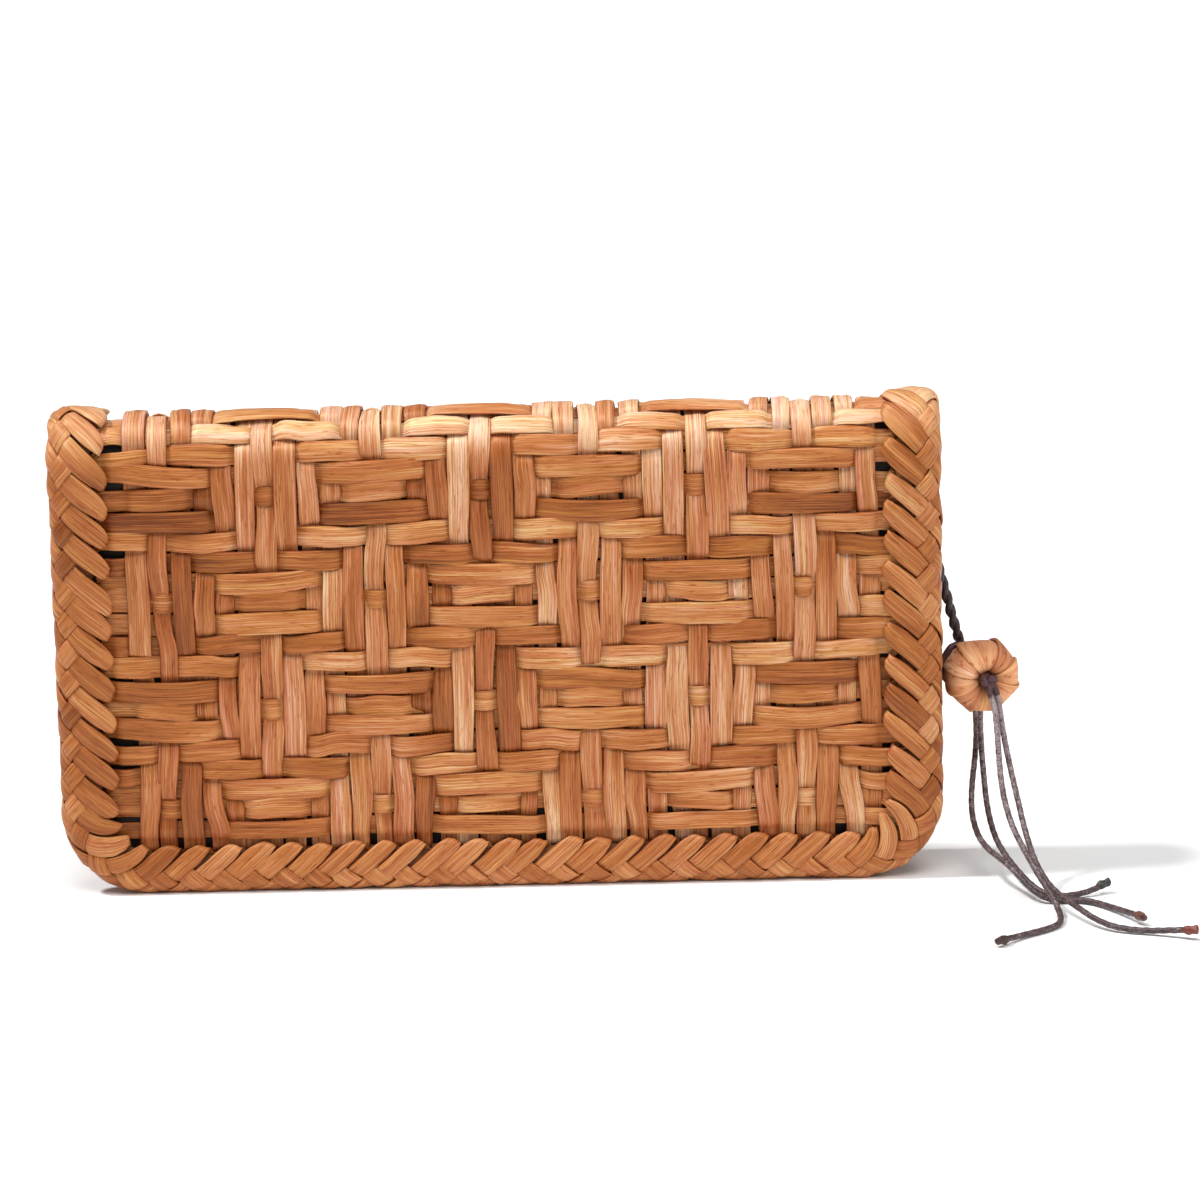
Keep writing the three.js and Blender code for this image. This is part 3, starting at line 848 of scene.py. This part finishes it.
def plait_leaves(along, starts, lift, taper, longer, forward):
    """Leaves that lead forward towards the tips, or the other way across them."""
    count = starts.size
    width = rng.normal(*LEAF_WIDTH, (count, 1))
    width = PLAIT_PITCH * (width + wander(count, along, *LEAF_WIDTH_WAVE))
    across = (width * taper)[:, :, None] / 2 * STRIP_ACROSS
    course = (along + longer * smoothstep(along / along[-1]))[:, :, None]
    travel = starts[:, None, None] + (course + across) / 2
    reach = (course - across) / (2 * STRAND_LEAD)
    height = lift + rng.normal(0, LEAF_LEVEL, (count, 1)) + wander(count, along, *LEAF_LEVEL_WAVE)
    tilt = rng.normal(0, LEAF_TILT, (count, 1, 1))
    rise = height[:, :, None] + STRAND_THICKNESS / 2 * (STRIP_RISE - 1) + tilt * across
    rise = rise + face_relief(count, along, LEAF_RELIEF) - STRAND_CROWN * STRIP_ACROSS ** 2
    return rim_surface(travel, reach if forward else -reach, rise), across, along


def long_strands():
    """Strands from behind the edge to their tips, dipping under one cross leaf at the crest."""
    samples = 38
    along = np.linspace(-2 * STRAND_LEAD * STRAND_TAIL, 2 * STRAND_LEAD * STRAND_TIP, samples)
    from_tip = along - along[-1]
    dip = smoothstep((along + PLAIT_PITCH + DIP_EASE / 2) / DIP_EASE)
    dip = dip * (1 - smoothstep((along + DIP_EASE / 2) / DIP_EASE))
    nose = smoothstep((from_tip + TIP_DIP_SPAN) / TIP_DIP_SPAN) ** 2
    taper = np.ones(samples)
    for narrowing, span in TIP_TAPERS:
        taper = taper - narrowing * smoothstep((from_tip + span) / span)
    starts = PLAIT_PITCH * np.arange(STRANDS) + rng.normal(0, STRAND_DRIFT, STRANDS)
    longer = rng.normal(0, STRAND_LONGER, (STRANDS, 1))
    lift = STRAND_LIFT - STRAND_DIP * dip - TIP_DIP * nose
    return plait_leaves(along, starts, lift, taper, longer, True)


def cross_leaves():
    """Short leaves at the crest, each lying over one strand with its ends tucked under the next."""
    samples = 13
    along = np.linspace(-CROSS_TUCK, PLAIT_PITCH + CROSS_TUCK, samples)
    over = smoothstep((along + CROSS_START) / CROSS_EASE)
    over = over * (1 - smoothstep((along - PLAIT_PITCH - DIP_EASE / 2) / DIP_EASE + 1))
    starts = PLAIT_PITCH * (np.arange(STRANDS) + 0.5) + rng.normal(0, CROSS_DRIFT, STRANDS)
    longer = np.zeros((STRANDS, 1))
    lift = -CROSS_SINK + CROSS_LIFT * over
    return plait_leaves(along, starts, lift, np.ones(samples), longer, False)


def make_rim(bark, core_bark):
    leaves = {"rim_strands": long_strands(), "rim_cross_leaves": cross_leaves()}
    for name, (grid, across, along) in leaves.items():
        # Painted light: rim strands on the fold are made paler, as on the weave
        tones = rng.normal(*PLAIT_TONE, (STRANDS, 1)) + FOLD_PAINTED_LIGHT * near_fold(grid)
        tones = tones - LEFT_DARKNESS / 2 * towards_left(grid)
        strips_piece(name, grid, across * PLAIT_GRAIN, along[None, :, None] * PLAIT_GRAIN, tones,
                     bark, "plaited_rim")
    steps = 240
    section = rounded_section(CORE_SECTION, 2)
    sides = len(section)
    travel = np.arange(steps) * OUTLINE_LENGTH / steps
    u, v = outline_point(travel[:, None], section[None, :, 0])
    points = folded(u, v, section[None, :, 1]).reshape(-1, 3)
    ring = np.arange(sides)
    after = (ring + 1) % sides
    faces = []
    for k in range(steps):
        here = k * sides
        there = (k + 1) % steps * sides
        faces += np.stack([here + ring, here + after, there + after, there + ring], -1).tolist()
    new_piece("rim_core", points, outward(points, faces), core_bark, "plaited_rim")


# The lining

def make_lining(cloth):
    points_across = 29
    points_on_leg = 16
    points_on_fold = 19
    across = np.linspace(-1, 1, points_across) * (WIDTH / 2 - LINING_INSET)
    along = np.concatenate([
        np.linspace(LINING_INSET, LEG, points_on_leg)[:-1],
        np.linspace(LEG, LEG + ARC, points_on_fold),
        np.linspace(LEG + ARC, LENGTH - LINING_INSET, points_on_leg)[1:],
    ])
    u, v = np.meshgrid(across, along)
    sides = [folded(u, v, np.full(u.shape, n)).reshape(-1, 3) for n in (LINING_OUTER, LINING_INNER)]
    points = np.concatenate(sides)
    stride = across.size
    under = along.size * stride
    faces = []
    for i in range(along.size - 1):
        for j in range(stride - 1):
            a = i * stride + j
            quad = [a, a + 1, a + stride + 1, a + stride]
            faces.append(quad)
            faces.append([under + k for k in reversed(quad)])
    index = np.arange(under).reshape(u.shape)
    border = np.concatenate([index[0, :-1], index[:-1, -1], index[-1, :0:-1], index[:0:-1, 0]]).tolist()
    for a, b in zip(border, border[1:] + border[:1]):
        faces.append([b, a, under + a, under + b])
    lining = new_piece("inner_lining", points, outward(points, faces), cloth, "lining")


# The cords

def smooth_route(route, step):
    """Evenly spaced points on a smooth line through the route."""
    points = np.array(route, dtype=float)
    padded = np.concatenate([[2 * points[0] - points[1]], points, [2 * points[-1] - points[-2]]])
    steps = 12
    share = np.linspace(0, 1, steps, endpoint=False)[:, None]
    parts = []
    for a, b, c, d in zip(padded, padded[1:], padded[2:], padded[3:]):
        parts.append(0.5 * (2 * b + (c - a) * share + (2 * a - 5 * b + 4 * c - d) * share ** 2
                            + (3 * b - a - 3 * c + d) * share ** 3))
    line = np.concatenate(parts + [points[-1:]])
    length = np.concatenate([[0], np.cumsum(np.linalg.norm(np.diff(line, axis=0), axis=1))])
    places = np.linspace(0, length[-1], round(length[-1] / step) + 1)
    return np.stack([np.interp(places, length, line[:, k]) for k in range(3)], -1)


def carried_frames(line):
    """Two directions across a line at each of its points, turning no more than it does."""
    ahead = np.gradient(line, axis=0)
    ahead /= np.linalg.norm(ahead, axis=1)[:, None]
    askew = (0.3, 0.2, 0.9)
    first = np.cross(ahead[0], askew)
    first /= np.linalg.norm(first)
    firsts = []
    for direction in ahead:
        first = first - direction * first.dot(direction)
        first = first / np.linalg.norm(first)
        firsts.append(first)
    firsts = np.array(firsts)
    return firsts, np.cross(ahead, firsts)


def tube_grid(line, radius, sides):
    """Rings of points round a line; radius is one number, or one for each ring and side."""
    first, second = carried_frames(line)
    angle = np.linspace(0, 2 * np.pi, sides, endpoint=False)
    reach = np.broadcast_to(radius, (len(line), sides))[:, :, None]
    around = first[:, None] * np.cos(angle)[None, :, None] + second[:, None] * np.sin(angle)[None, :, None]
    return line[:, None] + reach * around


def tubes_piece(name, grids, material, node):
    """A piece made of several closed tubes."""
    points = []
    faces = []
    done = 0
    for grid in grids:
        part = grid.reshape(-1, 3)
        own = outward(part, ring_faces(1, grid.shape[0], grid.shape[1]))
        faces += [[done + k for k in face] for face in own]
        points.append(part)
        done += len(part)
    return new_piece(name, np.concatenate(points), faces, material, node)


def ridged(radius, samples, sides, turns):
    """The radius of a cord whose surface shows fine yarns that turn round it."""
    angle = np.linspace(0, 2 * np.pi, sides, endpoint=False)[None, :]
    turn = np.linspace(0, 2 * np.pi * turns, samples)[:, None]
    return radius * (1 + YARN_RELIEF * np.cos(YARNS * (angle - turn)))


def twisted(line, strand_offset, strand_radius, turns):
    """Two strands twisted round a line."""
    first, second = carried_frames(line)
    angle = np.linspace(0, 2 * np.pi * turns, len(line))[:, None]
    sides = 15
    grids = []
    for start in (0, np.pi):
        strand = line + strand_offset * (first * np.cos(angle + start) + second * np.sin(angle + start))
        grids.append(tube_grid(strand, ridged(strand_radius, len(line), sides, -2 * turns), sides))
    return grids


def overhand_knot(centre, size, radius, axis):
    """A cord tied in a small trefoil round an axis."""
    samples = 73
    sides = 9
    depth = 1.6
    turn = np.linspace(0, 2 * np.pi, samples)
    flat = np.stack([
        np.sin(turn) + 2 * np.sin(2 * turn),
        np.cos(turn) - 2 * np.cos(2 * turn),
        -depth * np.sin(3 * turn),
    ], -1) / 3 * size
    frame_turn = np.array(Vector((0, 0, 1)).rotation_difference(Vector(axis)).to_matrix())
    return tube_grid(np.asarray(centre) + flat @ frame_turn.T, radius, sides)


def on_bead(radius, angle, height):
    """A point by its radius, angle and height on the bead's axis."""
    right = np.array([math.cos(BEAD_TURN), math.sin(BEAD_TURN), 0.0])
    up = np.array([0.0, 0.0, 1.0])
    radius, angle, height = (np.asarray(value)[..., None] for value in (radius, angle, height))
    return BEAD_CENTRE + radius * (np.cos(angle) * right + np.sin(angle) * up) + height * BEAD_AXIS


def make_pull(cord):
    line = smooth_route(PULL_ROUTE, PULL_STEP)
    grids = twisted(line, *PULL_STRANDS, PULL_LENGTH / PULL_TWIST)
    pull = tubes_piece("pull_twist", grids, cord, "pull_cord")
    anchor = overhand_knot(ANCHOR_CENTRE, *ANCHOR_KNOT, ANCHOR_AXIS)
    tubes_piece("pull_anchor_knot", [anchor], cord, "cord_anchor")


def make_tails(waxed):
    sides = 12
    for k, tail in enumerate(TAILS):
        line = smooth_route(tail["route"], TAIL_STEP)
        yarns = ridged(TAIL_DIAMETER / 2, len(line), sides, tail["length"] / TAIL_TWIST)
        tube = tube_grid(line, yarns, sides)
        piece = tubes_piece(f"tail_cord_{k + 1}", [tube], waxed, f"tail_{k + 1}")
        ahead = line[-1] - line[-4]
        ahead = ahead / np.linalg.norm(ahead)
        dark, light = tail["end"]
        stops = [(0.3, dark), (0.7, light)]
        end_cord = thread_material(f"knotted_end_{k + 1}", stops, roughness=0.4, spacing=0.5)
        tip = make_tip(f"tail_end_{k + 1}", np.array(tail["tip"]), ahead, end_cord, f"tail_tip_{k + 1}")


def make_tip(name, centre, ahead, material, node):
    """A knotted end: a small lumpy knot, then a short stub that flares to its cut."""
    samples = 21
    sides = 16
    places = np.linspace(TIP_PLACES[0], TIP_PLACES[-1], samples)
    profile = np.interp(places, TIP_PLACES, TIP_RADII)
    angle = np.linspace(0, 2 * np.pi, sides, endpoint=False)
    start = rng.uniform(0, 6)
    lumps = 1 + TIP_LUMPS * np.sin(3 * angle[None, :] + 2.2 * places[:, None] + start)
    notch = TIP_NOTCH * smoothstep((places[:, None] - 0.2) / 1.2) * np.cos(angle[None, :] + start) ** 6
    line = centre + ahead * places[:, None]
    grid = tube_grid(line, profile[:, None] * lumps * (1 - notch), sides)
    grid[..., 2] = np.maximum(grid[..., 2], FLOOR_CLEARANCE)
    return tubes_piece(name, [grid], material, node)


# The bead

def bead_meridian(share):
    """Radius, height and outward direction on the bead's section, from the front hole to the back one."""
    section = BEAD_SECTION
    for _ in range(2):
        section = np.concatenate([section[:1], cut_corners(section[:-1], section[1:]), section[-1:]])
    length = np.concatenate([[0], np.cumsum(np.hypot(*np.diff(section, axis=0).T))])
    place = share * length[-1]
    ahead = np.gradient(section, axis=0)
    ahead /= np.hypot(ahead[:, 0], ahead[:, 1])[:, None]
    radius = np.interp(place, length, section[:, 0])
    height = np.interp(place, length, section[:, 1])
    return radius, height, -np.interp(place, length, ahead[:, 1]), np.interp(place, length, ahead[:, 0])


def facets(angle, centres, widths):
    """How far out a many-sided outline is at some angles, as a share of the distance to its corners."""
    away = angle[..., None] - centres
    away = np.mod(away + np.pi, 2 * np.pi) - np.pi
    reach = np.where(np.abs(away) < FACET_REACH, np.cos(widths / 2) / np.cos(away), np.inf)
    return ROUND_SHARE + (1 - ROUND_SHARE) * reach.min(axis=-1)


def make_bead(pale_bark, core_bark):
    samples = 26
    share = np.linspace(0.0, 1.0, samples)
    radius, height, out_radius, out_height = (value[:, None] for value in bead_meridian(share))
    widths = rng.uniform(*WRAP_WIDTHS, BEAD_WRAPS)
    widths = widths / widths.sum() * 2 * np.pi
    centres = np.cumsum(widths) - widths / 2 + WRAP_START
    turn = widths[:, None, None] * (WRAP_REACH * STRIP_ACROSS - WRAP_SHIFT)
    skew = WRAP_SKEW * np.sin(2 * np.pi * share)[None, :, None] * rng.normal(0, 1, (BEAD_WRAPS, 1, 1))
    angle = centres[:, None, None] + turn + skew
    rise = WRAP_THICKNESS / 2 * (STRIP_RISE - 1) + WRAP_SLANT * STRIP_ACROSS - WRAP_SINK
    rise = rise + rng.normal(0, WRAP_LEVEL, (BEAD_WRAPS, 1, 1))
    rise = rise + face_relief(BEAD_WRAPS, WRAP_LENGTH * share, WRAP_RELIEF)
    reach = facets(angle, centres, widths) * radius + rise * out_radius
    lift = height + rise * out_height
    grid = on_bead(np.maximum(reach, BEAD_HOLE), np.broadcast_to(angle, reach.shape), lift)
    across = np.broadcast_to(WRAP_GRAIN * turn, reach.shape)
    # The wraps' tones carry painted light: lighter on the upper left, where the light falls, and darker
    # opposite
    tones = rng.normal(*WRAP_TONE, BEAD_WRAPS) + WRAP_PAINTED_LIGHT * np.cos(centres - LIGHT_SIDE)
    wraps = strips_piece("bead_wraps", grid, across, WRAP_LENGTH * share[None, :, None], tones[:, None],
                         pale_bark, "bead")
    around = np.linspace(0, 2 * np.pi, 32, endpoint=False)
    inward, backward = CORE_INSET
    reach = np.maximum(CORE_SHARE * radius - inward * out_radius, CORE_HOLE)
    inner = on_bead(*np.broadcast_arrays(reach, around, height - backward * out_height))
    core = tubes_piece("bead_core", [inner], core_bark, "bead")
    return [wraps, core]


def make_bead_knots(cord):
    sides = 10
    through = BEAD_CENTRE + BEAD_AXIS * np.linspace(BACK_KNOT, FRONT_KNOT, 12)[:, None]
    sweep = np.radians(np.linspace(*LOOP_SWEEP, 30))
    places = sweep[[0, 10, 20, 29]]
    loop = on_bead(np.interp(sweep, places, LOOP_REACHES), sweep, np.interp(sweep, places, LOOP_HEIGHTS))
    grids = [
        tube_grid(through, THROUGH_RADIUS, sides),
        overhand_knot(BEAD_CENTRE + BEAD_AXIS * BACK_KNOT, *BACK_KNOT_SIZE, BEAD_AXIS),
        overhand_knot(BEAD_CENTRE + BEAD_AXIS * FRONT_KNOT, *FRONT_KNOT_SIZE, BEAD_AXIS),
        tube_grid(loop, LOOP_RADIUS, sides),
    ]
    for knot, tail in zip(TAIL_KNOTS, TAILS):
        first, second = np.array(tail["route"][:2])
        stub = smooth_route([on_bead(0, 0, knot), first, first + 0.5 * (second - first)], 0.3)
        grids.append(tube_grid(stub, np.linspace(*STUB_RADII, len(stub))[:, None], sides))
    return tubes_piece("bead_cord_knots", grids, cord, "bead_knot")


# The stage

def make_camera():
    data = bpy.data.cameras.new("photo_camera")
    data.sensor_width = CAMERA_SENSOR
    data.lens = CAMERA_LENS
    back = Vector((0, -math.cos(CAMERA_ELEVATION), math.sin(CAMERA_ELEVATION)))
    level = Vector((1, 0, 0))
    upright = back.cross(level)
    right = math.cos(CAMERA_ROLL) * level + math.sin(CAMERA_ROLL) * upright
    up = -math.sin(CAMERA_ROLL) * level + math.cos(CAMERA_ROLL) * upright
    camera = add_object("photo_camera", data)
    turn = Matrix((right, up, back)).transposed().to_4x4()
    camera.matrix_world = Matrix.Translation((CAMERA_TARGET + CAMERA_DISTANCE * back) * MM) @ turn
    bpy.context.scene.camera = camera


def sun_light(name, towards, softness, strength):
    """Even light that shines one way."""
    data = bpy.data.lights.new(name, "SUN")
    data.angle = math.radians(softness)
    data.energy = strength
    light = add_object(name, data)
    light.rotation_euler = Vector(towards).to_track_quat("-Z", "Y").to_euler()


def make_stage():
    reach = FLOOR_REACH * MM
    corners = [(-reach, -reach, 0), (reach, -reach, 0), (reach, reach, 0), (-reach, reach, 0)]
    mesh = bpy.data.meshes.new("floor")
    mesh.from_pydata(corners, [], [(0, 1, 2, 3)])
    mesh.materials.append(floor_material())
    floor = add_object("floor", mesh)
    world = bpy.data.worlds.new("studio")
    world.use_nodes = True
    background = world.node_tree.nodes["Background"].inputs
    background["Color"].default_value = ROOM_COLOUR
    background["Strength"].default_value = ROOM_STRENGTH
    bpy.context.scene.world = world
    for name, (towards, softness, strength) in LAMPS.items():
        sun_light(name, towards, softness, strength)
    bpy.context.scene.view_settings.view_transform = "Standard"


make_camera()
dark_bark = thread_material("bark_shade", CORE_STOPS, roughness=0.7, spacing=1.2)
bead_bark = bark_material("bead_bark", PALE_STOPS, roughness=0.4, relief=0.35)
bead_pieces = make_bead(bead_bark, dark_bark)
knot_cord = thread_material("knot_cord", KNOT_STOPS, roughness=0.42, spacing=0.35)
bead_pieces.append(make_bead_knots(knot_cord))
make_pull(thread_material("dark_cord", PULL_STOPS, roughness=0.42, spacing=0.35))
# The tails get a painted sheen that makes them paler higher up
make_tails(thread_material("waxed_cord", TAIL_STOPS, roughness=0.4, spacing=0.3, painted_sheen_climb=0.0045))

weave = make_weave(bark_material("upright_bark", UPRIGHT_STOPS),
                   bark_material("crosswise_bark", CROSSWISE_STOPS))
make_rim(bark_material("plait_bark", PLAIT_STOPS), dark_bark)
make_lining(thread_material("lining_cloth", LINING_STOPS, roughness=0.8, spacing=0.5))
make_stage()
